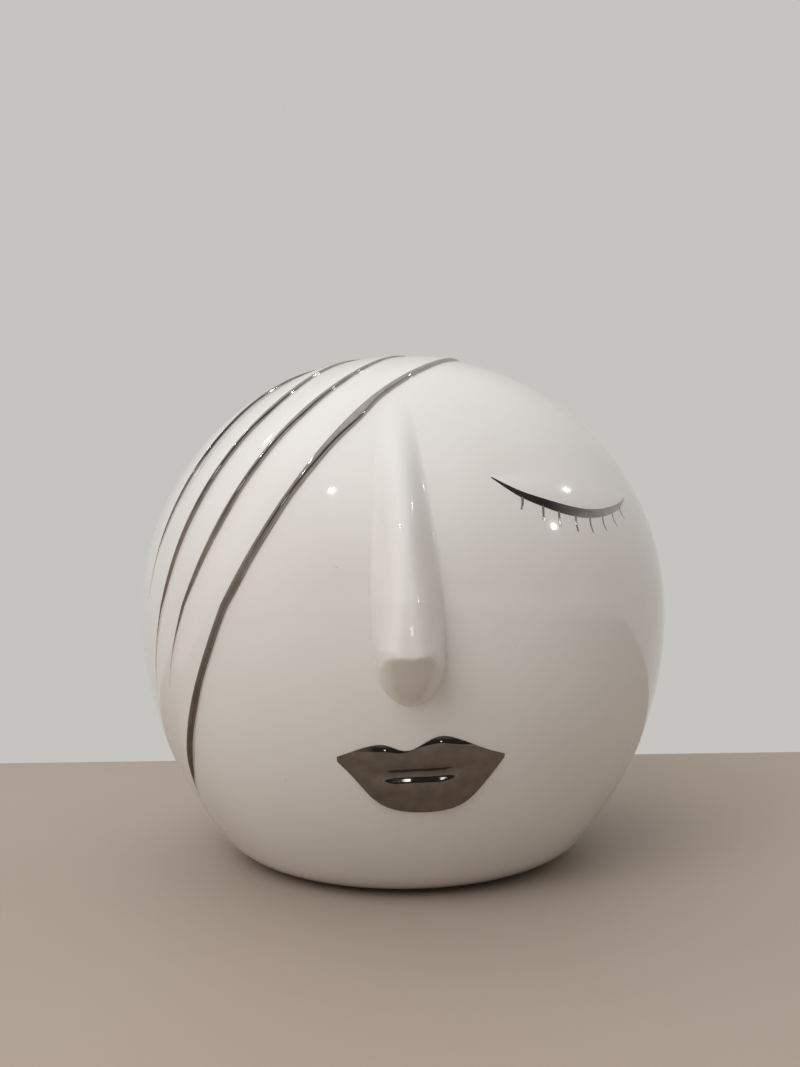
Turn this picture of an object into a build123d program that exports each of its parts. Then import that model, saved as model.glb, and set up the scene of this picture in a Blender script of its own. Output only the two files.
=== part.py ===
# A round head-shaped ceramic vase with a modelled face.
#
# The hollow pot is one turned piece. The nose, the lips, the closed eyelid and the four locks of
# hair are relief pieces seated on its outer skin, and the edges of the lid and the locks carry raised
# platinum lines. The face looks along -Y, the vase stands on the XY plane and +Z is up.
#
# A place on the skin is given as an azimuth and a latitude, as on a globe. The azimuth is zero on
# the nose and grows to the viewer's right, and the latitude is the tilt of the skin's outward
# direction above the horizon. Lengths are millimetres and angles are degrees.

import os
from math import acos, asin, atan2, cos, degrees, radians, sin, sqrt

from build123d import *

# Pot
widest_radius = 140.0       # radius at the widest line
base_radius = 70.0          # radius of the flat that it stands on
heel_radius = 36.0          # arc from the flat up to the flank
flank_radius = 182.0        # arc from the heel up to the widest line
crown_radius = 134.0        # arc from the widest line up to the mouth
wall = 6.0                  # thickness of the pot
mouth_radius = 35.0         # hole at the top
rim_rounding = 2.6          # rounding of both edges of the mouth
foot_ring_width = 14.0      # flat ring that touches the table
foot_recess_depth = 2.5     # hollow inside the foot ring
foot_rounding = 1.2         # rounding of the foot ring's inner edge

# Relief
seat_gap = 0.08             # glaze between a relief piece and the skin
seam_gap = 0.15             # glaze between neighbouring relief pieces
feather = 0.25              # height of a relief where it dies out
face_station_count = 17     # sections along the lips and the eye
hair_station_count = 32     # sections along a lock

# Nose: latitude, sideways place, half width and rise of each level, from the brow to its foot
nose_levels = [
    (42.0, -5.4, 4.4, 0.5),
    (38.5, -5.0, 5.8, 1.6),
    (34.5, -4.7, 7.2, 2.9),
    (30.5, -4.5, 8.1, 4.5),
    (26.5, -4.3, 8.9, 6.2),
    (17.0, -3.2, 11.3, 9.8),
    (8.0, -2.3, 13.0, 13.5),
    (1.5, -1.5, 13.8, 17.0),
    (-3.0, -0.9, 14.0, 19.8),
    (-6.3, -0.6, 13.4, 21.0),
    (-8.2, -0.4, 11.8, 16.6),
    (-10.3, -0.3, 8.8, 9.4),
    (-12.2, -0.2, 3.6, 2.6),
]
nose_shoulder_width = 0.6   # share of the half width at which the flank turns into the front
nose_shoulder_rise = 0.74   # share of the rise at that place

# Lips, given from a point on the skin below the nose
mouth_latitude = -22.0
mouth_left = -29.6          # left and right ends of the lips
mouth_right = 37.4
lip_outline = [
    # height of the top edge, the parting and the bottom edge, evenly spaced from left to right
    (7.8, 6.6, 5.6),
    (10.4, 2.7, -2.4),
    (12.7, 0.8, -11.2),
    (12.9, -0.1, -15.8),
    (10.6, -0.3, -17.7),
    (13.3, 0.0, -18.2),
    (16.7, 0.6, -17.9),
    (15.6, 1.7, -16.6),
    (12.8, 3.4, -12.9),
    (10.0, 5.2, -4.4),
    (7.9, 7.2, 6.1),
]
lip_edge_height = 0.4
upper_lip_height = 4.4
lower_lip_height = 5.4
parting_height = 2.4
full_lip = 13.0             # from this height of the mouth on the lips have their full rise

# Closed eye, given from a point on the skin in the middle of the lid's edge
eye_azimuth = 34.0
eye_latitude = 18.5
eye_left = -41.8            # inner and outer ends of the crescent
eye_right = 41.3
eye_outline = [
    # height of the lid's top, the crescent's upper edge and its lower edge, evenly spaced
    (10.4, 9.2, 8.2),
    (14.0, 3.6, 1.7),
    (20.5, 0.8, -2.9),
    (24.0, -1.4, -5.2),
    (25.0, -2.5, -6.2),
    (24.0, -2.0, -5.4),
    (21.5, -0.3, -3.4),
    (16.5, 2.6, 0.4),
    (8.2, 6.7, 6.0),
]
lid_height = 1.8
crescent_crown = 0.6        # share of the lid's edge height that the middle of the crescent has
lid_crown = 0.55            # share of the lid's edge height that the middle of the lid has

# Eyelashes
lash_count = 8
lash_gap = 0.8              # from the crescent to the root of a lash
lash_first = -30.3          # right offset of the first root
lash_pitch = 8.8
lash_length = 7.4           # length in the middle of the row
lash_shortening = 1.7       # loss of length at both ends of the row
lash_lean_first = -2.2      # sideways lean of the first tip
lash_lean_last = 1.0        # sideways lean of the last tip
lash_width = 1.0
lash_height = 0.6
lash_tip_share = 0.5        # width and height of the tip as a share of those of the root
lash_steps = [0.0, 0.5, 1.0]

# Hair: azimuth of each lock's front edge at these latitudes, below its start at the mouth
hair_latitudes = [66.0, 50.0, 34.0, 16.0, 0.0, -13.0, -27.0]
rim_clearance = 2.0         # from the rounded rim to the start of the hair
hair_edges = [
    [50.0, 21.5, -1.2, -14.1, -24.4, -33.7, -43.6, -57.4],
    [10.0, -6.3, -18.7, -28.2, -36.5, -44.7, -53.5, -62.5],
    [-27.0, -30.0, -34.0, -40.0, -46.7, -53.0, -61.0, -68.5],
    [-48.5, -50.0, -50.6, -52.5, -57.0, -61.8, -67.0, -73.0],
]
strand_widths = [2.8, 2.4, 2.1, 1.3]
strand_heights = [1.7, 1.5, 1.4, 1.0]
strand_ends = [1.0, 0.8, 0.84, 0.72]    # share of the edge, from the mouth down, that has platinum
strand_bulge = 0.35         # crown of the platinum over a straight bevel
strand_fade = 0.2           # share of a strand over which it tapers at its lower end
strand_start_share = 0.55   # width and height at the mouth as a share of the full ones
strand_least_share = 0.08   # share that is left at the very end
last_lock_width = 30.0      # how far the last lock runs back before it dies out

# Working steps
corner_tolerance = 0.01     # for finding a corner of a sketch by its place
tangent_step = 0.01         # share of an edge over which its direction is taken

# Profile of the pot

# The heel and flank arcs share a tangent, which sets the tilt where they meet.
heel_sine = (base_radius + flank_radius - widest_radius) / (flank_radius - heel_radius)
heel_latitude = -degrees(acos(heel_sine))
widest_height = heel_radius * (1 - sqrt(1 - heel_sine**2)) + flank_radius * sqrt(1 - heel_sine**2)
crown_centre = widest_radius - crown_radius
flank_centre = widest_radius - flank_radius


def latitude_at_crown_radius(radius, inset=0.0):
    """Latitude of the skin, or of a surface set in from it, where the crown has this radius."""
    return degrees(acos((radius - crown_centre) / (crown_radius - inset)))


def profile_point(latitude, inset=0.0):
    """Distance from the axis and height of the skin, or of a surface set in from it."""
    tilt = radians(latitude)
    if latitude >= 0:
        middle, height, arc = crown_centre, widest_height, crown_radius - inset
    elif latitude >= heel_latitude:
        middle, height, arc = flank_centre, widest_height, flank_radius - inset
    else:
        middle, height, arc = base_radius, heel_radius, heel_radius - inset
    return middle + arc * cos(tilt), height + arc * sin(tilt)


def skin_normal(azimuth, latitude):
    """Outward direction of the skin."""
    turn, tilt = radians(azimuth), radians(latitude)
    return Vector(cos(tilt) * sin(turn), -cos(tilt) * cos(turn), sin(tilt))


def skin_point(azimuth, latitude):
    """Point of the skin."""
    radius, height = profile_point(latitude)
    turn = radians(azimuth)
    return Vector(radius * sin(turn), -radius * cos(turn), height)


def place_of(direction):
    """Azimuth and latitude of the skin that faces this direction."""
    way = direction.normalized()
    return degrees(atan2(way.X, -way.Y)), degrees(asin(way.Z))


def skin_offset(azimuth, latitude, right, up):
    """Place reached from another by going right and up along the skin."""
    radius, _ = profile_point(latitude)
    arc = crown_radius if latitude >= 0 else flank_radius
    return azimuth + degrees(right / radius), latitude + degrees(up / arc)


def pot_outline(inset):
    """Half outline of the pot or, set in by the wall, of its hollow, closed along the axis."""
    latitudes = [-90.0, heel_latitude, 0.0, latitude_at_crown_radius(mouth_radius / 2, inset)]
    foot, heel, waist, top = [profile_point(latitude, inset) for latitude in latitudes]
    heel_middle = profile_point((latitudes[0] + latitudes[1]) / 2, inset)
    flank_middle = profile_point((latitudes[1] + latitudes[2]) / 2, inset)
    crown_middle = profile_point((latitudes[2] + latitudes[3]) / 2, inset)
    Line((0, inset), foot)
    ThreePointArc(foot, heel_middle, heel)
    ThreePointArc(heel, flank_middle, waist)
    ThreePointArc(waist, crown_middle, top)
    Polyline(top, (0, top[1]), (0, inset))


def corners_at(sketch, distance):
    """Corners of a sketch at a distance from the axis."""
    nearest, farthest = distance - corner_tolerance, distance + corner_tolerance
    return sketch.vertices().filter_by_position(Axis.X, nearest, farthest)


# Pot

foot_recess_radius = base_radius - foot_ring_width

with BuildPart() as vessel_body:
    with BuildSketch(Plane.XZ) as section:
        with BuildLine():
            pot_outline(0)
        make_face()
        with BuildLine():
            pot_outline(wall)
        make_face(mode=Mode.SUBTRACT)
        with Locations((0, widest_height)):
            above_waist = (Align.CENTER, Align.MIN)
            Rectangle(2 * mouth_radius, 2 * crown_radius, align=above_waist, mode=Mode.SUBTRACT)
        Rectangle(2 * foot_recess_radius, 2 * foot_recess_depth, mode=Mode.SUBTRACT)
        fillet(corners_at(section, mouth_radius), radius=rim_rounding)
        fillet(corners_at(section, foot_recess_radius), radius=foot_rounding)
    revolve(axis=Axis.Z)

vessel_body.part.label = "vessel_body"


# Relief sections


def bow(start, middle, end):
    """Shallow curve from one point to another that passes through a middle one."""
    control = Vector(middle) * 2 - (Vector(start) + Vector(end)) / 2
    return Bezier(start, control, end)


def relief_section(start, end, start_height, middle_height, end_height):
    """Sketch across a relief that sits on the skin between two places, crowned between them."""
    middle = place_of(skin_normal(*start) + skin_normal(*end))
    along = (skin_point(*end) - skin_point(*start)).normalized()
    across = along.cross(skin_normal(*middle)).normalized()
    plane = Plane(origin=skin_point(*middle), x_dir=along, z_dir=across)

    def above(place, height):
        local = plane.to_local_coords(skin_point(*place) + skin_normal(*place) * height)
        return local.X, local.Y

    with BuildSketch(plane) as section:
        with BuildLine():
            top = bow(above(start, start_height), above(middle, middle_height), above(end, end_height))
            seat = bow(above(start, seat_gap), above(middle, seat_gap), above(end, seat_gap))
            Line(top @ 0, seat @ 0)
            Line(top @ 1, seat @ 1)
        make_face()
    return section.sketch


def even_shares(count):
    """Shares from 0 to 1 in equal steps."""
    return [number / (count - 1) for number in range(count)]


def curve_through(points):
    """Curve through points, with the same step of its parameter from each to the next."""
    return Edge.make_spline(points, parameters=even_shares(len(points)))


def edges_of(outline, left, right):
    """Curves of the columns of an outline, whose rows are evenly spaced between two ends."""
    offsets = [left + share * (right - left) for share in even_shares(len(outline))]
    return [curve_through(list(zip(offsets, heights))) for heights in zip(*outline)]


def stations_on(edges):
    """Stations along such curves: the offset to the right, then the height of each curve."""
    stations = []
    for share in even_shares(face_station_count):
        points = [edge @ share for edge in edges]
        stations.append([points[0].X] + [point.Y for point in points])
    return stations


# Nose

def ring_point(radius, across, lift=0.0):
    """Point of a level ring at a sideways place, lifted off it towards the viewer."""
    return (across, -sqrt(radius**2 - across**2) - lift)


with BuildPart() as nose:
    for latitude, middle, half_width, rise in nose_levels:
        skin_radius, height = profile_point(latitude)
        radius = skin_radius + seat_gap
        shoulder = nose_shoulder_width * half_width
        left_foot = ring_point(radius, middle - half_width)
        right_foot = ring_point(radius, middle + half_width)
        with BuildSketch(Plane.XY.offset(height)):
            with BuildLine():
                Spline(
                    left_foot,
                    ring_point(radius, middle - shoulder, nose_shoulder_rise * rise),
                    ring_point(radius, middle, rise),
                    ring_point(radius, middle + shoulder, nose_shoulder_rise * rise),
                    right_foot,
                )
                ThreePointArc(left_foot, ring_point(radius, middle), right_foot)
            make_face()
    loft()

nose.part.label = "nose"


# Lips


def mouth_place(right, up):
    """Place on the skin given from the middle of the mouth."""
    return skin_offset(0.0, mouth_latitude, right, up)


lip_stations = stations_on(edges_of(lip_outline, mouth_left, mouth_right))


def lip_rise(height, top, bottom):
    """Rise of a lip, which dies out towards the corners of the mouth."""
    share = min(1.0, (top - bottom) / full_lip)
    return lip_edge_height + share * (height - lip_edge_height)


with BuildPart() as upper_lip:
    sections = []
    for right, top, parting, bottom in lip_stations:
        sections.append(
            relief_section(
                mouth_place(right, top),
                mouth_place(right, parting + seam_gap / 2),
                lip_edge_height,
                lip_rise(upper_lip_height, top, bottom),
                lip_rise(parting_height, top, bottom),
            )
        )
    loft(sections)

upper_lip.part.label = "upper_lip"

with BuildPart() as lower_lip:
    sections = []
    for right, top, parting, bottom in lip_stations:
        sections.append(
            relief_section(
                mouth_place(right, parting - seam_gap / 2),
                mouth_place(right, bottom),
                lip_rise(parting_height, top, bottom),
                lip_rise(lower_lip_height, top, bottom),
                lip_edge_height,
            )
        )
    loft(sections)

lower_lip.part.label = "lower_lip"


# Closed eye


def eye_place(right, up):
    """Place on the skin given from the middle of the eye."""
    return skin_offset(eye_azimuth, eye_latitude, right, up)


eye_edges = edges_of(eye_outline, eye_left, eye_right)
eye_stations = stations_on(eye_edges)
crescent_width = max(upper - lower for _, _, upper, lower in eye_stations)

with BuildPart() as lash_line:
    sections = []
    for right, _, upper, lower in eye_stations:
        edge_height = lid_height * (upper - lower) / crescent_width
        sections.append(
            relief_section(
                eye_place(right, lower),
                eye_place(right, upper),
                feather,
                crescent_crown * edge_height + feather,
                edge_height,
            )
        )
    loft(sections)

lash_line.part.label = "lash_line"

with BuildPart() as eyelid:
    sections = []
    for right, lid_top, upper, lower in eye_stations:
        edge_height = lid_height * (upper - lower) / crescent_width
        sections.append(
            relief_section(
                eye_place(right, upper + seam_gap),
                eye_place(right, lid_top),
                edge_height,
                lid_crown * edge_height + feather,
                feather,
            )
        )
    loft(sections)

eyelid.part.label = "eyelid"

crescent_edge = eye_edges[-1]
eyelashes = []
for number in range(lash_count):
    share = number / (lash_count - 1)
    right = lash_first + number * lash_pitch
    root = (crescent_edge @ ((right - eye_left) / (eye_right - eye_left))).Y - lash_gap
    length = lash_length - lash_shortening * (2 * share - 1) ** 2
    lean = lash_lean_first + share * (lash_lean_last - lash_lean_first)
    with BuildPart() as eyelash:
        sections = []
        for step in lash_steps:
            size = 1 - step * (1 - lash_tip_share)
            middle = right + lean * step**2
            up = root - length * step
            sections.append(
                relief_section(
                    eye_place(middle - lash_width * size / 2, up),
                    eye_place(middle + lash_width * size / 2, up),
                    feather,
                    lash_height * size,
                    feather,
                )
            )
        loft(sections)
    eyelash.part.label = f"eyelash_{number + 1}"
    eyelashes.append(eyelash.part)


# Hair

hair_start_latitude = latitude_at_crown_radius(mouth_radius + rim_rounding + rim_clearance)


def hair_edge(azimuths):
    """Front edge of a lock as a curve of azimuth and latitude, from the mouth down."""
    return curve_through(list(zip(azimuths, [hair_start_latitude] + hair_latitudes)))


def shifted(edge, share, distance):
    """Place on the skin a distance to the left of an edge, square to the way that it runs."""
    here = edge @ share
    before, after = edge @ max(0.0, share - tangent_step), edge @ min(1.0, share + tangent_step)
    way = (skin_point(after.X, after.Y) - skin_point(before.X, before.Y)).normalized()
    normal = skin_normal(here.X, here.Y)
    sideways = way.cross(normal).normalized()
    return place_of(normal + sideways * (distance / crown_radius))


def eased(share):
    """Share from 0 to 1 that leaves 0 and reaches 1 without a corner."""
    return sin(radians(90 * max(0.0, min(1.0, share)))) ** 2


def fade(share, end):
    """Size of a strand along an edge: reduced at the mouth, full, and dying out at its end."""
    start = strand_start_share + (1 - strand_start_share) * eased(share / strand_fade)
    tail = eased((end - share) / (strand_fade * end))
    return strand_least_share + (start - strand_least_share) * tail


edges = [hair_edge(azimuths) for azimuths in hair_edges]
hair_shares = even_shares(hair_station_count)

hair_strands = []
for number, edge in enumerate(edges):
    width, height, end = strand_widths[number], strand_heights[number], strand_ends[number]
    with BuildPart() as hair_strand:
        sections = []
        for hair_share in hair_shares:
            share = hair_share * end
            size = fade(share, end)
            here = edge @ share
            sections.append(
                relief_section(
                    shifted(edge, share, -width * size),
                    (here.X, here.Y),
                    feather,
                    (height / 2 + strand_bulge) * size + feather / 2,
                    height * size + feather,
                )
            )
        loft(sections)
    hair_strand.part.label = f"hair_strand_{number + 1}"
    hair_strands.append(hair_strand.part)

hair_locks = []
for number, edge in enumerate(edges):
    height, end = strand_heights[number], strand_ends[number]
    with BuildPart() as hair_lock:
        sections = []
        for hair_share in hair_shares:
            share = hair_share * end
            size = fade(share, end)
            if number + 1 < len(edges):
                next_width = strand_widths[number + 1] * fade(share, strand_ends[number + 1])
                back = shifted(edges[number + 1], share, -next_width - seam_gap)
            else:
                back = shifted(edge, share, last_lock_width)
            sections.append(
                relief_section(
                    shifted(edge, share, seam_gap),
                    back,
                    height * size + feather,
                    height * size / 2 + feather,
                    feather,
                )
            )
        loft(sections)
    hair_lock.part.label = f"hair_lock_{number + 1}"
    hair_locks.append(hair_lock.part)


# Output

os.makedirs("parts", exist_ok=True)
pieces = [vessel_body.part, nose.part, upper_lip.part, lower_lip.part, eyelid.part, lash_line.part]
for piece in pieces + eyelashes + hair_locks + hair_strands:
    export_step(piece, f"parts/{piece.label}.step")
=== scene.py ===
# %% [markdown]
# # A face vase
# The object is a round, hollow ceramic vase with a modelled face. Its white glaze is glossy, and the
# lips, the lashes and the edges of the hair carry platinum lustre, a film of metal that is brushed on
# and fired. The CAD part is loaded first, as a frame that fixes every size and place. Each of its
# solids is then replaced by a finer piece that has its real finish.

# %% Open the frame
from math import acos, asin, atan2, cos, degrees, exp, pi, radians, sin, sqrt

import bmesh
import bpy
import numpy as np
from mathutils import Matrix, Vector


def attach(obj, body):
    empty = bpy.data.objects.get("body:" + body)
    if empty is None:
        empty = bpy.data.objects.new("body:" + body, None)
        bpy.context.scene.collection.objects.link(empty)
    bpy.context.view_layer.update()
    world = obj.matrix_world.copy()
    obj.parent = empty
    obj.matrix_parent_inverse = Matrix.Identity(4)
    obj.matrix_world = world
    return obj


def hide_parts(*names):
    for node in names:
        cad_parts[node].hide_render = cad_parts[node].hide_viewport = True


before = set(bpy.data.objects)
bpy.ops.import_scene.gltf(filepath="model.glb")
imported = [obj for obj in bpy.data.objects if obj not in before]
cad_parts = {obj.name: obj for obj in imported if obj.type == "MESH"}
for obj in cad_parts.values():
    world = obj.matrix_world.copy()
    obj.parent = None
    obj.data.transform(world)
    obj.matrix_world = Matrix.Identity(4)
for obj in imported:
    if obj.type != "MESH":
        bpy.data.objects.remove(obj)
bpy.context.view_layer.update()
MM = 0.001
print("CAD nodes:", len(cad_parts))

# %% [markdown]
# ## The skin of the pot
# A thrown pot is a shape of revolution. Its outline is three arcs: a tight one at the heel, a wide one
# up the flank and one over the crown. They meet without a corner, so a place on the skin can be named
# by the direction in which it faces, as on a globe. Everything modelled on the pot is placed that way.

# %% Outline of the pot
widest_radius = 140 * MM
base_radius = 70 * MM
heel_radius = 36 * MM
flank_radius = 182 * MM
crown_radius = 134 * MM

heel_cosine = (base_radius + flank_radius - widest_radius) / (flank_radius - heel_radius)
heel_sine = sqrt(1 - heel_cosine**2)
heel_tilt = -acos(heel_cosine)
widest_height = heel_radius * (1 - heel_sine) + flank_radius * heel_sine
heel_middle = (base_radius, heel_radius)
flank_middle = (widest_radius - flank_radius, widest_height)
crown_middle = (widest_radius - crown_radius, widest_height)


def outline_arc(tilt):
    """Centre and radius of the arc that has this tilt."""
    if tilt >= 0:
        return crown_middle, crown_radius
    if tilt >= heel_tilt:
        return flank_middle, flank_radius
    return heel_middle, heel_radius


def outline_point(tilt, lift=0.0):
    """Distance from the axis and height of the outline where it has this tilt, lifted off it."""
    middle, radius = outline_arc(tilt)
    return middle[0] + (radius + lift) * cos(tilt), middle[1] + (radius + lift) * sin(tilt)


print("widest at a height of", round(widest_height / MM, 1), "mm")


# %% Places on the skin
def facing(azimuth, latitude):
    """Direction of a place, in degrees to the viewer's right of the nose and above the horizon."""
    turn, tilt = radians(azimuth), radians(latitude)
    return Vector((cos(tilt) * sin(turn), -cos(tilt) * cos(turn), sin(tilt)))


def on_skin(direction, lift=0.0):
    """Point of the skin that faces a direction, lifted off it along that direction."""
    way = direction.normalized()
    turn, tilt = atan2(way.x, -way.y), asin(max(-1.0, min(1.0, way.z)))
    distance, height = outline_point(tilt, lift)
    return Vector((distance * sin(turn), -distance * cos(turn), height))


print("middle of the face:", [round(side / MM, 1) for side in on_skin(facing(0, 0))], "mm")

# %% [markdown]
# ## Finishes
# A finish is a small tree of shader nodes, and the finishes here share a few steps: a noise that is
# laid out on the piece, tones that follow it, and a bump. Each step is a short function, so that a
# finish reads like a recipe. The noise is on Object coordinates, which are metres in this scene, so
# a pattern keeps its real size on every piece.

# %% Steps of a finish
noise_low, noise_high = 0.3, 0.7


def new_finish(name):
    """Material with its shader, and the coordinates that its patterns are laid out on."""
    finish = bpy.data.materials.new(name)
    finish.use_nodes = True
    shader = finish.node_tree.nodes["Principled BSDF"]
    place = finish.node_tree.nodes.new("ShaderNodeTexCoord").outputs["Object"]
    return finish, shader, place


def noise(finish, place, scale, detail=3.0):
    """Noise of a number of cells to the metre."""
    texture = finish.node_tree.nodes.new("ShaderNodeTexNoise")
    texture.inputs["Scale"].default_value = scale
    texture.inputs["Detail"].default_value = detail
    finish.node_tree.links.new(place, texture.inputs["Vector"])
    return texture.outputs["Fac"]


def bumped(finish, shader, height, strength, distance):
    """Bump of a surface from a height pattern."""
    node = finish.node_tree.nodes.new("ShaderNodeBump")
    node.inputs["Strength"].default_value = strength
    node.inputs["Distance"].default_value = distance
    finish.node_tree.links.new(height, node.inputs["Height"])
    finish.node_tree.links.new(node.outputs["Normal"], shader.inputs["Normal"])


print("most noise lies between", noise_low, "and", noise_high)


# %% Tones of a finish
def ramp(finish, factor, *stops):
    """Colours at places of a factor, blended between them."""
    node = finish.node_tree.nodes.new("ShaderNodeValToRGB")
    finish.node_tree.links.new(factor, node.inputs["Fac"])
    elements = node.color_ramp.elements
    while len(elements) < len(stops):
        elements.new(0.5)
    for element, (position, color) in zip(elements, stops):
        element.position = position
        element.color = (*color, 1.0)
    return node.outputs["Color"]


def two_tones(finish, factor, first, second):
    """Two colours that drift into each other as a noise does."""
    return ramp(finish, factor, (noise_low, first), (noise_high, second))


def spread(finish, factor, low, high, from_low=noise_low, from_high=noise_high):
    """Factor spread from one value to another."""
    node = finish.node_tree.nodes.new("ShaderNodeMapRange")
    node.inputs["From Min"].default_value = from_low
    node.inputs["From Max"].default_value = from_high
    node.inputs["To Min"].default_value = low
    node.inputs["To Max"].default_value = high
    finish.node_tree.links.new(factor, node.inputs["Value"])
    return node.outputs["Result"]


def blended(finish, factor, under, over):
    """One colour over another where the factor is high."""
    node = finish.node_tree.nodes.new("ShaderNodeMix")
    node.data_type = "RGBA"
    finish.node_tree.links.new(factor, node.inputs["Factor"])
    finish.node_tree.links.new(under, node.inputs["A"])
    if isinstance(over, tuple):
        node.inputs["B"].default_value = (*over, 1.0)
    else:
        finish.node_tree.links.new(over, node.inputs["B"])
    return node.outputs["Result"]


print("steps of a finish ready")

# %% [markdown]
# ## White glaze
# The glaze is a glassy white coat, a little uneven in thickness, so its colour drifts between a warm
# and a cooler white and its reflections waver. A few tiny dark specks of iron show through. Slow noise
# gives the drift and the waver, and the very peaks of a fine noise give the specks.

# %% Glaze
def white_glaze():
    warm_white, cool_white = (0.775, 0.755, 0.725), (0.825, 0.81, 0.785)
    iron = (0.16, 0.12, 0.09)
    finish, shader, place = new_finish("white_glaze")
    links = finish.node_tree.links
    tone = two_tones(finish, noise(finish, place, scale=9), warm_white, cool_white)
    speck_noise = noise(finish, place, scale=900, detail=0.0)
    specks = spread(finish, speck_noise, low=0.0, high=0.6, from_low=0.915, from_high=0.94)
    roughness = spread(finish, noise(finish, place, scale=40), low=0.06, high=0.15)
    links.new(blended(finish, specks, tone, iron), shader.inputs["Base Color"])
    links.new(roughness, shader.inputs["Roughness"])
    shader.inputs["IOR"].default_value = 1.52
    shader.inputs["Coat Weight"].default_value = 0.5
    shader.inputs["Coat Roughness"].default_value = 0.03
    ripples = noise(finish, place, scale=28, detail=2.0)
    bumped(finish, shader, ripples, strength=0.25, distance=0.4 * MM)
    return finish


glaze = white_glaze()
print("finish:", glaze.name)

# %% [markdown]
# ## Bare clay of the foot
# Glaze melts in the kiln and would stick to the shelf, so a potter wipes it off the ring that the pot
# stands on. The bare clay there is matt, warm and slightly sandy. It is a second material on the faces
# of that ring, because the wiped edge is a clean line.

# %% Clay
def bare_clay():
    dark_clay, pale_clay = (0.66, 0.59, 0.50), (0.76, 0.70, 0.61)
    finish, shader, place = new_finish("bare_clay")
    links = finish.node_tree.links
    tone = two_tones(finish, noise(finish, place, scale=60), dark_clay, pale_clay)
    roughness = spread(finish, noise(finish, place, scale=300), low=0.75, high=0.95)
    links.new(tone, shader.inputs["Base Color"])
    links.new(roughness, shader.inputs["Roughness"])
    sand = noise(finish, place, scale=1800, detail=4.0)
    bumped(finish, shader, sand, strength=0.5, distance=0.2 * MM)
    return finish


clay = bare_clay()
print("finish:", clay.name)

# %% [markdown]
# ## Platinum lustre
# Lustre is a very thin film of metal on the glaze, so it is a mirror that follows every ripple. It is
# brushed on by hand: the film is thinner in places, which turns it greyer and duller, and a few
# pinholes let the white glaze through. Its tone is also painted darker low on the face and paler
# towards the crown. That height gradient is a painted reflection: of the dark surroundings that the
# metal mirrors low down, and of the bright ceiling that it mirrors higher up.

# %% Platinum
def platinum_lustre():
    # Painted reflection: the dark tones low down and the pale tones high up stand in for what the metal
    # mirrors
    dark_reflection_tones = (0.17, 0.148, 0.13), (0.24, 0.212, 0.19)
    pale_reflection_tones = (0.42, 0.40, 0.38), (0.52, 0.50, 0.475)
    dark_reflection_height, pale_reflection_height = 90 * MM, 210 * MM
    bare_glaze = (0.80, 0.78, 0.75)
    finish, shader, place = new_finish("platinum_lustre")
    links = finish.node_tree.links
    film = noise(finish, place, scale=160, detail=4.0)
    axes = finish.node_tree.nodes.new("ShaderNodeSeparateXYZ")
    links.new(place, axes.inputs["Vector"])
    # The tone goes from the dark painted reflection to the pale one with height, and is not the film's own
    # colour
    painted_reflection_rise = spread(finish, axes.outputs["Z"], low=0.0, high=1.0, from_low=dark_reflection_height, from_high=pale_reflection_height)
    tone = blended(finish, painted_reflection_rise, two_tones(finish, film, *dark_reflection_tones), two_tones(finish, film, *pale_reflection_tones))
    hole_noise = noise(finish, place, scale=1500, detail=1.0)
    pinholes = spread(finish, hole_noise, low=0.0, high=1.0, from_low=0.83, from_high=0.87)
    metal = spread(finish, pinholes, low=1.0, high=0.0, from_low=0.0, from_high=1.0)
    links.new(blended(finish, pinholes, tone, bare_glaze), shader.inputs["Base Color"])
    links.new(metal, shader.inputs["Metallic"])
    links.new(spread(finish, film, low=0.10, high=0.03), shader.inputs["Roughness"])
    ripples = noise(finish, place, scale=220, detail=1.0)
    bumped(finish, shader, ripples, strength=0.15, distance=0.12 * MM)
    return finish


platinum = platinum_lustre()
print("finish:", platinum.name)

# %% [markdown]
# ## The pot
# On the wheel, the pot is one outline turned about an axis, and bmesh can make it in the same way. A
# single vertex is spun about the centre of each arc to draw the outline, straight runs are extruded,
# and the finished outline is spun once about the upright axis. The mouth and the foot then get their
# rounded edges with a bevel.

# %% Draw the outline
wall = 6 * MM
mouth_radius = 35 * MM
recess_radius = 56 * MM
recess_depth = 2.5 * MM


def arc_on(form, vert, middle, angle, steps):
    """Draws an arc on from a vertex about a centre, and returns its last vertex."""
    centre = (middle[0], 0, middle[1])
    made = bmesh.ops.spin(form, geom=[vert], cent=centre, axis=(0, -1, 0), angle=angle, steps=steps)
    return made["geom_last"][0]


def line_on(form, vert, distance, height):
    """Draws a straight run on from a vertex, and returns its last vertex."""
    end = bmesh.ops.extrude_vert_indiv(form, verts=[vert])["verts"][0]
    end.co = (distance, 0, height)
    return end


def mouth_tilt(radius):
    """Tilt of a crown arc of this radius where it meets the mouth."""
    return acos((mouth_radius - crown_middle[0]) / radius)


outer_mouth, inner_mouth = mouth_tilt(crown_radius), mouth_tilt(crown_radius - wall)
inner_mouth_height = widest_height + (crown_radius - wall) * sin(inner_mouth)

pot_form = bmesh.new()
tip = pot_form.verts.new((0, 0, recess_depth))
tip = line_on(pot_form, tip, recess_radius, recess_depth)
tip = line_on(pot_form, tip, recess_radius, 0)
tip = line_on(pot_form, tip, base_radius, 0)
tip = arc_on(pot_form, tip, heel_middle, pi / 2 + heel_tilt, steps=12)
tip = arc_on(pot_form, tip, flank_middle, -heel_tilt, steps=36)
tip = arc_on(pot_form, tip, crown_middle, outer_mouth, steps=54)
tip = line_on(pot_form, tip, mouth_radius, inner_mouth_height)
tip = arc_on(pot_form, tip, crown_middle, -inner_mouth, steps=36)
tip = arc_on(pot_form, tip, flank_middle, heel_tilt, steps=24)
tip = arc_on(pot_form, tip, heel_middle, -pi / 2 - heel_tilt, steps=10)
line_on(pot_form, tip, 0, wall)
print("points of the outline:", len(pot_form.verts))

# %% Turn the outline
turn_steps = 256
same_place = 0.01 * MM

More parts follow.
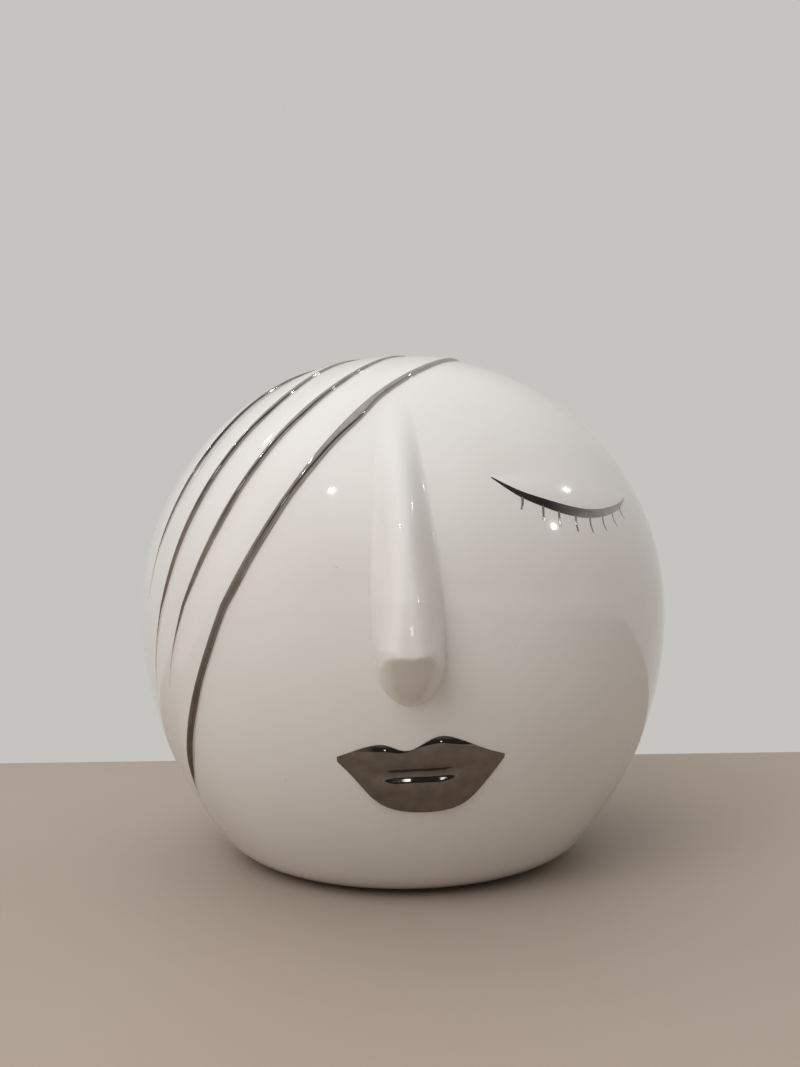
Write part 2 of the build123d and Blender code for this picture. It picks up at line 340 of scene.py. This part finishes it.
outline = pot_form.verts[:] + pot_form.edges[:]
bmesh.ops.spin(
    pot_form, geom=outline, cent=(0, 0, 0), axis=(0, 0, 1), angle=2 * pi, steps=turn_steps, use_merge=True
)
bmesh.ops.remove_doubles(pot_form, verts=pot_form.verts[:], dist=same_place)
print("turned faces:", len(pot_form.faces))

# %% Round the mouth and the foot
rim_rounding = 2.6 * MM
foot_rounding = 1.2 * MM
wiped_height = 0.3 * MM


def rings_at(form, radius):
    """Level edges at a distance from the axis."""
    return [
        edge
        for edge in form.edges
        if all(abs(vert.co.xy.length - radius) < same_place for vert in edge.verts)
        and abs(edge.verts[0].co.z - edge.verts[1].co.z) < same_place
    ]


def rounded(form, edges, radius, segments):
    """Rounds off edges."""
    bmesh.ops.bevel(
        form, geom=edges, offset=radius, offset_type="OFFSET", segments=segments, profile=0.5,
        affect="EDGES", material=-1,
    )


rounded(pot_form, rings_at(pot_form, mouth_radius), rim_rounding, segments=6)
rounded(pot_form, rings_at(pot_form, recess_radius), foot_rounding, segments=3)
bmesh.ops.recalc_face_normals(pot_form, faces=pot_form.faces[:])
for face in pot_form.faces:
    middle = face.calc_center_median()
    if middle.z < wiped_height and middle.xy.length > recess_radius:
        face.material_index = 1
print("pot faces:", len(pot_form.faces))

# %% [markdown]
# ## From a form to a piece
# A finished form becomes a mesh object at the origin, with its place in its vertices, as a CAD node
# has. Its faces are shaded smooth, with a crease only where the surface really has an edge. It then
# stands for its CAD node and rides on the one body that a vase has.

# %% Make a piece
crease_angle = radians(50)


def piece_of(form, node, slot, *finishes):
    """Turns a form into a piece of the object that stands for a CAD node."""
    mesh = bpy.data.meshes.new(node + "_finished")
    form.to_mesh(mesh)
    form.free()
    mesh.shade_smooth()
    mesh.set_sharp_from_angle(angle=crease_angle)
    for finish in finishes:
        mesh.materials.append(finish)
    piece = bpy.data.objects.new(node + "_finished", mesh)
    bpy.context.scene.collection.objects.link(piece)
    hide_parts(node)
    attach(piece, "root")
    return piece


pot = piece_of(pot_form, "vessel_body", "white_glaze", glaze, clay)
print("pot:", [round(side / MM, 1) for side in pot.dimensions], "mm")

# %% [markdown]
# ## Relief on the skin
# The face and the hair are clay laid on the pot and smoothed in. Each can be made as a sheet: a grid
# whose two directions run along and across the feature. Every vertex of the grid is sent to a place
# on the skin and lifted off it, and the sheet is then extruded back into the wall of the pot, which
# makes a closed piece. A curve that passes smoothly through a few values sets the feature's outline.
# Sizes of the relief are in millimetres, and places on the skin are in degrees.

# %% Curves for an outline
def between(first, second, share):
    """Value a share of the way from the first to the second."""
    return first + share * (second - first)


def eased(low, high, value):
    """Goes smoothly from 0 at the first value to 1 at the second one."""
    share = max(0.0, min(1.0, (value - low) / (high - low)))
    return share * share * (3 - 2 * share)


def arch(share):
    """Low arch that is 1 halfway and 0 at both ends."""
    return 4 * share * (1 - share)


def falling(share):
    """Falls smoothly from 1 to 0."""
    return 0.5 + 0.5 * cos(pi * share)


def hump(distance, half_width):
    """Soft hump that is 1 in its middle."""
    return exp(-((distance / half_width) ** 2))


def smooth_through(values):
    """Natural cubic curve through evenly spaced values, as a function of a share from 0 to 1."""
    points = np.array(values, dtype=float)
    last = len(points) - 1
    bends = np.zeros(last + 1)
    system = 4 * np.eye(last - 1) + np.eye(last - 1, k=1) + np.eye(last - 1, k=-1)
    bends[1:-1] = np.linalg.solve(system, 6 * np.diff(points, 2))

    def curve(share):
        step = min(last - 1, max(0, int(share * last)))
        after = share * last - step
        before = 1 - after
        pull = bends[step] * (before**3 - before) + bends[step + 1] * (after**3 - after)
        return float(points[step] * before + points[step + 1] * after + pull / 6)

    return curve


print("curve halfway through 0, 1 and 0:", smooth_through([0, 1, 0])(0.5))

# %% Sheets on the skin
root_depth = 0.8
just_under = 0.002


def sheet_on_skin(columns, rows, place):
    """Closed form from a sheet. place gives the face and the root of a share along and across."""
    form = bmesh.new()
    bmesh.ops.create_grid(form, x_segments=columns, y_segments=rows, size=0.5)
    roots = form.verts.layers.float_vector.new("root")
    for vert in form.verts:
        vert.co, vert[roots] = place(vert.co.x + 0.5, vert.co.y + 0.5)
    made = bmesh.ops.extrude_face_region(form, geom=form.faces[:], use_keep_orig=True)
    for item in made["geom"]:
        if isinstance(item, bmesh.types.BMVert):
            item.co = item[roots]
    form.verts.layers.float_vector.remove(roots)
    bmesh.ops.recalc_face_normals(form, faces=form.faces[:])
    return form


def seated(direction, lift):
    """Face and root of a vertex that is lifted off the skin."""
    return on_skin(direction, lift * MM), on_skin(direction, -root_depth * MM)


def patch_at(azimuth, latitude):
    """Function that seats a vertex, given by how far it is to the right of a place and up from it."""
    around = outline_point(radians(latitude))[0]
    upright = outline_arc(radians(latitude))[1]

    def place(right, up, lift):
        turned, raised = degrees(right * MM / around), degrees(up * MM / upright)
        return seated(facing(azimuth + turned, latitude + raised), lift)

    return place


print("sheets are rooted", root_depth, "mm deep")

# %% [markdown]
# ## The nose
# The nose is a long ridge that grows from the brow, leans a little and ends in a blunt tip with a flat
# underside. Its flanks run out softly into the cheeks at the top, and at the tip they are blunter and
# meet the cheek at a crease. A bell-shaped cross-section does both, with powers that change on the way.
# The underside is one slope that cuts the ridge off, and it meets the skin along a U.

# %% Levels of the nose
nose_levels = [
    # latitude, sideways place, half width and rise, from the brow to the foot of the nose
    (46.0, -5.6, 4.0, -0.2),
    (42.0, -5.2, 6.0, 0.15),
    (34.5, -4.7, 8.6, 1.9),
    (26.5, -4.2, 10.2, 4.9),
    (17.0, -3.2, 12.0, 9.0),
    (8.0, -2.3, 13.5, 13.2),
    (1.5, -1.5, 14.2, 17.0),
    (-3.0, -0.9, 14.4, 19.8),
    (-5.2, -0.7, 14.2, 20.9),
    (-6.0, -0.6, 14.1, 21.2),
    (-6.8, -0.5, 14.0, 21.4),
    (-7.8, -0.4, 13.9, 21.5),
    (-9.0, -0.3, 13.9, 21.5),
    (-10.4, -0.3, 13.9, 21.5),
    (-12.0, -0.2, 13.9, 21.5),
    (-13.4, -0.2, 13.9, 21.5),
]
nose_latitude, nose_middle, nose_width, nose_rise = [smooth_through(part) for part in zip(*nose_levels)]
print("levels of the nose:", len(nose_levels))

# %% Underside of the nose
underside_top, underside_bottom = -6.5, -12.8
underside_rise, underside_half_width, u_power = 21.5, 14.0, 0.48


def nose_underside(side, latitude):
    """Lift of the slope under the nose, in millimetres, which is 0 along a U."""
    depth_of_u = max(0.0, 1 - (side / underside_half_width) ** 2) ** u_power
    down = (underside_top - latitude) / (underside_top - underside_bottom)
    return underside_rise * (depth_of_u - down)


print("underside from", underside_top, "to", underside_bottom, "degrees")

# %% Model the nose
nose_reach = 1.04
tip_start, tip_full = 0.31, 0.58
brow_power, tip_power = 2.2, 3.2
brow_softness, tip_softness = 2.0, 1.05
edge_blend = 1.3
buried = -0.5
margin_sink = 0.004


def lower_of(first, second, blend):
    """The lower of two heights, rounded off where they meet."""
    near = max(0.0, 1 - abs(first - second) / blend)
    return min(first, second) - blend * near**2 / 4


def nose_place(along, across):
    """Face and root of a vertex of the nose, which is lifted straight towards the viewer."""
    distance, height = outline_point(radians(nose_latitude(along)))
    blunt = eased(tip_start, tip_full, along)
    side = (2 * across - 1) * nose_reach
    x = (nose_middle(along) + side * nose_width(along)) * MM
    bell = max(0.0, 1 - abs(side) ** between(brow_power, tip_power, blunt))
    ridge = nose_rise(along) * bell ** between(brow_softness, tip_softness, blunt)
    if abs(side) > 1:
        ridge = buried * blunt - margin_sink
    lift = lower_of(ridge, nose_underside(side * nose_width(along), nose_latitude(along)), edge_blend)
    depth = sqrt(distance**2 - x**2)
    face = Vector((x, -depth - max(lift, buried) * MM, height))
    return face, Vector((x, root_depth * MM - depth, height))


nose_form = sheet_on_skin(columns=240, rows=96, place=nose_place)
nose = piece_of(nose_form, "nose", "white_glaze", glaze)
print("nose:", [round(side / MM, 1) for side in nose.dimensions], "mm")

# %% [markdown]
# ## The lips
# Both lips are soft rolls of clay under platinum. The upper lip rolls over towards its two peaks, and
# the lower lip turns under at its bottom edge. The parting is a valley that only the middle of the
# mouth has. All of that is one height, so the two lips are two sheets of one surface and meet exactly.

# %% Outline of the lips
mouth_latitude = -22.0
mouth_left, mouth_right = -29.6, 37.4
lip_outline = [
    # height of the top edge, the parting and the bottom edge, evenly spaced from left to right
    (7.8, 6.6, 5.6),
    (10.4, 3.2, -2.4),
    (12.7, 1.5, -11.2),
    (12.9, 0.6, -15.8),
    (10.6, 0.4, -17.7),
    (13.3, 0.7, -18.2),
    (16.7, 1.3, -17.9),
    (15.6, 2.4, -16.6),
    (12.8, 4.0, -12.9),
    (10.0, 5.2, -4.4),
    (7.9, 7.2, 6.1),
]
lip_top, lip_parting, lip_bottom = [smooth_through(column) for column in zip(*lip_outline)]
mouth_place = patch_at(0.0, mouth_latitude)
print("mouth:", round(mouth_right - mouth_left, 1), "mm wide")

# %% Rolls of the lips
full_lip = 13.0
edge_height = 0.3
roll_height, roll_width = 2.1, 5.0
peaks, peak_half_width = (0.26, 0.64), 0.14
least_roll = 0.4
bottom_rounding = 7.5


def lip_fullness(along):
    """Share of its full height that a lip has, which dies out towards the corners of the mouth."""
    return min(1.0, (lip_top(along) - lip_bottom(along)) / full_lip)


def quarter_round(distance, radius):
    """Share of the full height at a distance in from an edge that is rounded off."""
    return sqrt(1 - (1 - min(1.0, max(0.0, distance / radius))) ** 2)


def peak_share(along):
    """Share of the full roll that the upper lip has, which is most at its two peaks."""
    near_peaks = sum(hump(along - peak, peak_half_width) for peak in peaks)
    return min(1.0, least_roll + (1 - least_roll) * near_peaks)


def lip_swell(along, up):
    """Height of the lips without their parting: rolled at the top and turned under at the bottom."""
    in_from_top = min(1.0, max(0.0, (lip_top(along) - up) / roll_width))
    swell = edge_height + roll_height * peak_share(along) * (1 - (1 - in_from_top) ** 2)
    return swell * quarter_round(up - lip_bottom(along), bottom_rounding * lip_fullness(along))


print("swell in the middle of the parting:", round(lip_swell(0.5, lip_parting(0.5)), 2), "mm")

# %% Model the lips
lip_lift = 0.05
parting_left, parting_right = (0.06, 0.36), (0.95, 0.6)
parting_depth, parting_half_width = 1.7, 2.8
crest_height, crest_below, crest_half_width = 1.1, 5.6, 4.2
edge_crowding = 1.5


def lip_vertex(along, up):
    """Face and root of a vertex of the lips, with the valley of the parting and the crest below it."""
    middle = eased(*parting_left, along) * eased(*parting_right, along)
    below = lip_parting(along) - up
    crest = crest_height * hump(below - crest_below, crest_half_width)
    valley = parting_depth * hump(below, parting_half_width)
    lift = lip_lift + lip_swell(along, up) * lip_fullness(along) + middle * (crest - valley)
    return mouth_place(between(mouth_left, mouth_right, along), up, lift)


def upper_lip_place(along, across):
    """Vertex of the upper lip, with its rows closer together at the top edge."""
    return lip_vertex(along, between(lip_top(along), lip_parting(along), across**edge_crowding))


def lower_lip_place(along, across):
    """Vertex of the lower lip, with its rows closer together at the bottom edge."""
    run = 1 - (1 - across) ** edge_crowding
    return lip_vertex(along, between(lip_parting(along), lip_bottom(along), run))


for node, place in (("upper_lip", upper_lip_place), ("lower_lip", lower_lip_place)):
    lip = piece_of(sheet_on_skin(columns=140, rows=44, place=place), node, "platinum_lustre", platinum)
    print(node, [round(side / MM, 1) for side in lip.dimensions], "mm")

# %% [markdown]
# ## The closed eye
# The lid is a soft swelling that ends below in a low sloping step, and the platinum crescent is
# painted on that step. So the lid's sheet has the step in it, and the crescent is a film that lies on
# the same slope, a hair above the glaze.

# %% Outline of the eye
eye_azimuth, eye_latitude = 34.0, 18.5
eye_left, eye_right = -43.4, 41.3
eye_outline = [
    # height of the lid's top, the crescent's upper edge and its lower edge, evenly spaced
    (10.6, 9.9, 9.4),
    (14.5, 3.95, 1.6),
    (21.5, 0.5, -2.8),
    (26.0, -1.95, -5.75),
    (27.5, -3.3, -7.0),
    (26.5, -2.9, -6.35),
    (23.5, -0.87, -3.98),
    (17.0, 2.2, -0.05),
    (7.6, 6.7, 6.2),
]
lid_top, crescent_top, crescent_bottom = [smooth_through(column) for column in zip(*eye_outline)]
eye_place = patch_at(eye_azimuth, eye_latitude)
print("eye:", round(eye_right - eye_left, 1), "mm wide")

# %% Model the lid and its crescent
lid_height, lid_softness = 1.15, 1.4
crescent_width = 3.7
step_share = 0.35
film_lift = 0.06


def lid_step(along, share):
    """Height on the face and lift of the lid's step, as a slope from its foot to its top."""
    width = crescent_top(along) - crescent_bottom(along)
    return crescent_bottom(along) + width * share, lid_height * min(1.0, width / crescent_width) * share


def lid_place(along, across):
    """Vertex of the lid: up its step first, and then down along its back to the skin."""
    right = between(eye_left, eye_right, along)
    if across < step_share:
        up, lift = lid_step(along, across / step_share)
        return eye_place(right, up, lift - just_under)
    rest = (across - step_share) / (1 - step_share)
    edge, lift = lid_step(along, 1.0)
    fall = falling(rest) ** lid_softness
    return eye_place(right, between(edge, lid_top(along), rest), lift * fall - just_under)


def crescent_place(along, across):
    """Vertex of the film on the lid's step."""
    up, lift = lid_step(along, across)
    return eye_place(between(eye_left, eye_right, along), up, lift + film_lift)


lid_form = sheet_on_skin(columns=120, rows=48, place=lid_place)
piece_of(lid_form, "eyelid", "white_glaze", glaze)
crescent_form = sheet_on_skin(columns=160, rows=14, place=crescent_place)
crescent = piece_of(crescent_form, "lash_line", "platinum_lustre", platinum)
print("crescent:", [round(side / MM, 1) for side in crescent.dimensions], "mm")

# %% [markdown]
# ## The lashes
# Eight short strokes of lustre hang from the crescent. A brush stroke is widest and thickest where it
# starts and thins towards its tip. The strokes are boldest near the nose, and the further they are
# from it, the more they bow and lean outwards. A bevelled curve would be a round wire, so each is a
# flat sheet with soft edges instead.

# %% Draw the lashes
lash_places = [-30.7, -21.3, -13.5, -4.5, 4.3, 13.5, 22.5, 31.3]
lash_overlap = 0.4
lash_length, lash_shortening = 7.2, 1.4
lash_lean_first, lash_lean_last = -1.5, 1.0
lash_bow_last = 1.3
lash_width_first, lash_width_last, lash_tip_share = 1.45, 0.85, 0.6
lash_root_height, lash_tip_height, lash_lift = 0.16, 0.03, 0.02
lash_flatness = 4


def lash_stroke(number):
    """Place of the vertices of one lash."""
    share = number / (len(lash_places) - 1)
    right = lash_places[number]
    root = crescent_bottom((right - eye_left) / (eye_right - eye_left)) + lash_overlap
    length = lash_length - lash_shortening * (2 * share - 1) ** 2
    lean = between(lash_lean_first, lash_lean_last, share)
    bow = lash_bow_last * share
    root_width = between(lash_width_first, lash_width_last, share)

    def place(along, across):
        # The rows are closer together at the soft edges
        side = sin(pi * (across - 0.5))
        width = root_width * between(1, lash_tip_share, along)
        thick = between(lash_root_height, lash_tip_height, along) * (1 - side**lash_flatness)
        middle = right + lean * along**2 - bow * arch(along)
        return eye_place(middle + width / 2 * side, root - length * along, thick + lash_lift)

    return place


for number in range(len(lash_places)):
    lash_form = sheet_on_skin(columns=28, rows=12, place=lash_stroke(number))
    piece_of(lash_form, f"eyelash_{number + 1}", "platinum_lustre", platinum)
print("lashes:", len(lash_places))

# %% [markdown]
# ## The hair
# Four locks overlap like shingles. Each is highest along its front edge, steps down there towards the
# face, and falls away behind to nothing where the next lock starts. The four front edges sweep from
# the mouth of the vase down the side of the face, and each is one curve through a few places.

# %% Front edges of the locks
rim_clearance = 2 * MM
hair_start = acos((mouth_radius + rim_rounding + rim_clearance - crown_middle[0]) / crown_radius)
hair_latitudes = [degrees(hair_start), 66.0, 50.0, 34.0, 16.0, 0.0, -13.0, -30.0]
hair_azimuths = [
    # azimuth of one front edge at each of the latitudes
    [50.0, 21.5, -1.2, -14.1, -24.4, -33.7, -43.6, -59.0],
    [4.0, -8.0, -18.9, -28.2, -36.5, -44.7, -53.5, -63.5],
    [-30.0, -31.5, -34.2, -40.0, -46.7, -53.0, -61.0, -69.5],
    [-52.0, -51.6, -51.2, -52.5, -57.0, -61.8, -67.0, -73.0],
]
hair_latitude = smooth_through(hair_latitudes)
front_edges = [smooth_through(azimuths) for azimuths in hair_azimuths]
edge_step = 0.005


def edge_facing(number, share):
    """Direction that the skin faces on the front edge of a lock."""
    return facing(front_edges[number](share), hair_latitude(share))


def beside_edge(number, share, distance):
    """Direction a distance behind a front edge, square to the way that the edge runs."""
    here = edge_facing(number, share)
    run = on_skin(edge_facing(number, share + edge_step)) - on_skin(edge_facing(number, share - edge_step))
    behind = run.cross(here).normalized()
    return here + behind * (distance * MM / crown_radius)


print("front edges start", round(hair_latitudes[0], 1), "degrees up")

# %% [markdown]
# ## The locks
# A lock's sheet runs from the foot of its step, up over a quarter round, and down along its back. The
# step is full height over most of the edge, low at the mouth, and dies out at the lower end. Slow sine
# waves of different lengths vary its width as a hand does, the same in every run.

# %% Steps of the locks
step_widths = [2.8, 2.3, 2.0, 0.9]
step_heights = [1.7, 1.5, 1.4, 0.8]
step_starts = [0.5, 0.15, 0.15, 0.15]
lock_ends = [1.0, 0.88, 0.90, 0.74]
lock_fades = [0.08, 0.4, 0.45, 0.45]
start_run, rim_run = 0.4, 0.04
brush_waves = [
    # size of a wave, its pace along an edge and its shift from one edge to the next
    (0.6, 31, 2),
    (0.4, 67, 1),
]
waver_share = 0.1
thick_gain, thick_place, thick_half_width = 0.52, 0.40, 0.05
low_narrowing, narrow_from, narrow_to = 0.28, 0.6, 0.85


def dies_out(share, end, fade):
    """Goes smoothly from 1 to 0 over the last part of a run, which is the fade times its end."""
    return eased(end, end * (1 - fade), share)


def edge_size(number, share):
    """Share of its full height that the step of a lock has along its run."""
    start = between(step_starts[number], 1, eased(0.0, start_run, share)) * eased(0.0, rim_run, share)
    return start * dies_out(share, lock_ends[number], lock_fades[number])


def brush_waver(number, share):
    """Small uneven change along an edge that was worked by hand."""
    return sum(size * sin(pace * share + shift * number) for size, pace, shift in brush_waves)


def hand_width(number, share):
    """Width of a lock's front edge. The first has one thick place, and is narrower low down."""
    gain = 0.0
    if number == 0:
        gain = thick_gain * hump(share - thick_place, thick_half_width)
        gain -= low_narrowing * eased(narrow_from, narrow_to, share)
    return step_widths[number] * (1 + waver_share * brush_waver(number, share) + gain)


print("first edge:", round(hand_width(0, thick_place), 2), "mm wide at its thick place")

# %% Model the locks
last_lock_width = 30.0
front_share = 0.3
least_width = 0.1
back_sink = 0.12


def front_round(number, share, quarter):
    """Direction and lift on the quarter round of a lock's front edge, from its foot to its top."""
    size = edge_size(number, share)
    distance = -hand_width(number, share) * max(least_width, size) * cos(pi / 2 * quarter)
    return beside_edge(number, share, distance), step_heights[number] * size * sin(pi / 2 * quarter)


def lock_back(number, share):
    """Direction of the back of a lock, which is the foot of the next one."""
    if number + 1 == len(front_edges):
        return beside_edge(number, share, last_lock_width)
    return front_round(number + 1, share, 0.0)[0]


def lock_sheet(number):
    """Place of the vertices of one lock."""

    def place(along, across):
        share = along * lock_ends[number]
        if across < front_share:
            direction, lift = front_round(number, share, across / front_share)
        else:
            rest = (across - front_share) / (1 - front_share)
            crest, height = front_round(number, share, 1.0)
            direction = crest.lerp(lock_back(number, share), rest)
            lift = height * falling(rest) - back_sink * rest**2
        return seated(direction, lift - just_under)

    return place


for number in range(len(front_edges)):
    lock_form = sheet_on_skin(columns=220, rows=40, place=lock_sheet(number))
    piece_of(lock_form, f"hair_lock_{number + 1}", "white_glaze", glaze)
print("locks:", len(front_edges))

# %% [markdown]
# ## The strands
# The platinum is painted on the step of each lock, as a film a hair above the glaze that is thickest
# along its middle. It follows the step, whose uneven width makes the line look drawn by hand, and it
# narrows to a point at its end.

# %% Paint the strands
strand_ends = [1.0, 0.84, 0.82, 0.70]
strand_fades = [0.08, 0.3, 0.34, 0.4]
strand_start = 0.012
reach_gain = 2.2
bead_height = 0.7


def strand_sheet(number):
    """Place of the vertices of one strand."""
    end = strand_ends[number]

    def place(along, across):
        share = end * between(strand_start, 1, along)
        reach = min(1.0, reach_gain * dies_out(share, end, strand_fades[number]))
        direction, lift = front_round(number, share, 1 - reach * (1 - across))
        bead = bead_height * edge_size(number, share) * reach * arch(across)
        return seated(direction, lift + film_lift + bead)

    return place


for number in range(len(front_edges)):
    strand_form = sheet_on_skin(columns=320, rows=12, place=strand_sheet(number))
    piece_of(strand_form, f"hair_strand_{number + 1}", "platinum_lustre", platinum)
print("strands:", len(front_edges))

# %% [markdown]
# ## The floor
# The vase stands on a plain pale floor that ends a short way behind it. A slab with slightly rounded
# edges is enough, and its matt, warm tone takes a soft shadow.

# %% Floor
floor_width, floor_front, floor_back, floor_thickness = 4.0, -3.0, 0.24, 0.03
floor_rounding = 0.004


def pale_floor():
    first_tone, second_tone = (0.405, 0.33, 0.275), (0.43, 0.355, 0.30)
    finish, shader, place = new_finish("pale_floor")
    tone = two_tones(finish, noise(finish, place, scale=3), first_tone, second_tone)
    finish.node_tree.links.new(tone, shader.inputs["Base Color"])
    shader.inputs["Roughness"].default_value = 0.6
    return finish


floor_form = bmesh.new()
bmesh.ops.create_cube(
    floor_form,
    size=1.0,
    matrix=Matrix.Translation((0, (floor_front + floor_back) / 2, -floor_thickness / 2))
    @ Matrix.Diagonal((floor_width, floor_back - floor_front, floor_thickness, 1)),
)
rounded(floor_form, floor_form.edges[:], floor_rounding, segments=3)
floor_mesh = bpy.data.meshes.new("floor")
floor_form.to_mesh(floor_mesh)
floor_form.free()
floor_mesh.materials.append(pale_floor())
floor = bpy.data.objects.new("floor", floor_mesh)
bpy.context.scene.collection.objects.link(floor)
print("floor:", [round(side, 3) for side in floor.dimensions], "m")

# %% [markdown]
# ## Room and lamps
# A polished metal only shows what is around it, so the room is part of the look of the lustre. It is
# pale behind the vase and overhead, and darker behind the camera. Two large lamps give a soft light
# from above, and a few small ones give the gloss its points of light. The large ones aren't reflected,
# because a big square of light on the glaze would hide its form.

# %% Room
ceiling = (0.85, (0.72, 0.71, 0.69))
back_walls = [
    # height of a direction, from level at 0 to straight up at 1, and the colour there
    (0.0, (0.56, 0.55, 0.53)),
    (0.62, (0.56, 0.55, 0.53)),
    ceiling,
]
dim_walls = [
    (0.0, (0.48, 0.465, 0.44)),
    (0.05, (0.42, 0.405, 0.39)),
    (0.09, (0.05, 0.045, 0.042)),
    (0.40, (0.09, 0.085, 0.08)),
    ceiling,
]
lit_walls = [
    (0.0, (0.44, 0.41, 0.385)),
    (0.62, (0.58, 0.56, 0.54)),
    ceiling,
]

world = bpy.data.worlds.new("room")
bpy.context.scene.world = world
world.use_nodes = True
room_links = world.node_tree.links
room_nodes = world.node_tree.nodes
room_axes = room_nodes.new("ShaderNodeSeparateXYZ")
room_links.new(room_nodes.new("ShaderNodeTexCoord").outputs["Generated"], room_axes.inputs["Vector"])
back_tone, dim_tone, lit_tone = [
    ramp(world, room_axes.outputs["Z"], *stops) for stops in (back_walls, dim_walls, lit_walls)
]
behind_camera = spread(world, room_axes.outputs["Y"], low=1.0, high=0.0, from_low=-0.6, from_high=0.25)
left_side = spread(world, room_axes.outputs["X"], low=1.0, high=0.0, from_low=-0.85, from_high=-0.45)
front_tone = blended(world, left_side, dim_tone, lit_tone)
background = room_nodes["Background"]
room_links.new(blended(world, behind_camera, back_tone, front_tone), background.inputs["Color"])
background.inputs["Strength"].default_value = 1.0
print("room:", len(room_nodes), "nodes")

# %% Lamps
vase_middle = (0, 0, 130 * MM)
soft_lamps = [
    # name, place, width in metres and power in watts
    ("key", (-0.6, -1.0, 1.1), 0.9, 10.8),
    ("overhead", (-0.2, 0.1, 1.4), 0.9, 2),
]
spot_width, spot_power = 0.045, 0.3
spot_places = [(-0.65, -0.88, 1.18), (1.21, -0.05, 1.08), (1.22, -0.55, 0.76), (-0.95, 0.30, 1.30)]
front_spot_place, front_spot_width, front_spot_power = (0.08, -1.5, 0.40), 0.11, 0.22


def lamp(name, place, width, power):
    """Soft square lamp that points at the middle of the vase."""
    light = bpy.data.lights.new(name, "AREA")
    light.size = width
    light.energy = power
    body = bpy.data.objects.new(name, light)
    body.location = place
    body.rotation_euler = (Vector(vase_middle) - Vector(place)).to_track_quat("-Z", "Y").to_euler()
    body.visible_camera = False
    bpy.context.scene.collection.objects.link(body)
    return body


for name, place, width, power in soft_lamps:
    lamp(name, place, width, power).visible_glossy = False
for number, place in enumerate(spot_places):
    lamp(f"ceiling_spot_{number + 1}", place, spot_width, spot_power)
lamp("front_spot", front_spot_place, front_spot_width, front_spot_power)
print("lamps:", len(soft_lamps) + len(spot_places) + 1)

# %% [markdown]
# ## Camera
# The photograph is taken from close by, at the height of the vase's middle and looking slightly up. A
# near camera shows less of the sides and the crown than a far one, so its place matters as much as
# its angle. Its lens is like a phone's, with a focal length as long as the photograph is wide.

# %% Camera
camera_place = (-10.3 * MM, -452.5 * MM, 129.5 * MM)
camera_turn, camera_tilt, camera_roll = radians(-1.15), radians(95.0), radians(-0.6)
photo_height_in_focal_lengths = 1067 / 800

camera_data = bpy.data.cameras.new("camera")
camera_data.sensor_width = 36.0
camera_data.lens = camera_data.sensor_width / photo_height_in_focal_lengths
camera_data.clip_start = 0.01
camera = bpy.data.objects.new("camera", camera_data)
camera.matrix_world = (
    Matrix.Translation(camera_place)
    @ Matrix.Rotation(camera_turn, 4, "Z")
    @ Matrix.Rotation(camera_tilt, 4, "X")
    @ Matrix.Rotation(camera_roll, 4, "Z")
)
bpy.context.scene.collection.objects.link(camera)
bpy.context.scene.camera = camera
bpy.context.scene.view_settings.view_transform = "Standard"
print("lens:", round(camera_data.lens, 2), "mm")
